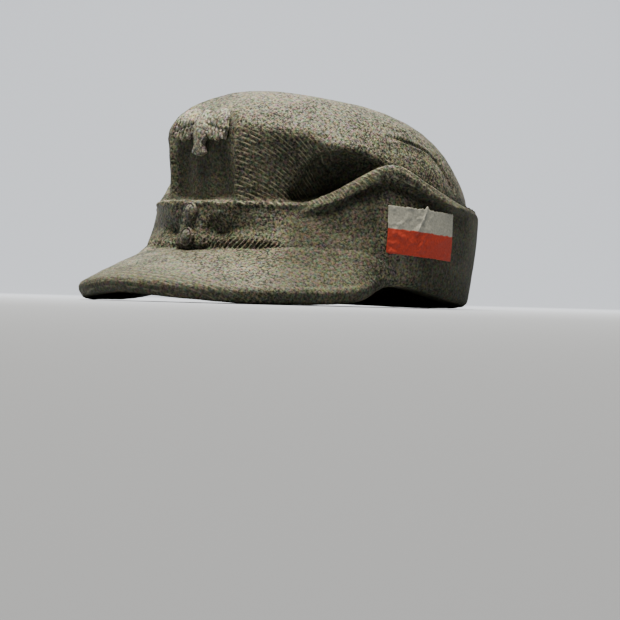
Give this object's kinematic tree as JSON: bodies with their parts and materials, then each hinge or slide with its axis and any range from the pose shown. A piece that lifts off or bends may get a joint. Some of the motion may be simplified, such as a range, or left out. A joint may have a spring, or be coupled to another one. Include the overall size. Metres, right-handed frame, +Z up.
{
  "type": "toy figure's military field cap",
  "caption": "Peaked field cap for a small toy figure, with turned-up flap, two front buttons, bird badge and two-stripe flag, open underneath for the head.",
  "frame": {"origin": "middle of the cap's footprint, on the surface that it rests on", "axes": "+Z up, peak towards -Y, wearer's left towards +X"},
  "size_m": [0.0134, 0.0168, 0.0084],
  "materials": {
    "printed_resin": "field-grey printed resin with fine layer lines",
    "button_resin": "the same resin on the moulded buttons",
    "badge_resin": "the same resin on the raised badge",
    "decal": "white over red printed film"
  },
  "bodies": {
    "root": {"cap": "printed_resin", "button_upper": "button_resin", "button_lower": "button_resin", "badge": "badge_resin", "flag_decal": "decal"}
  },
  "joints": []
}
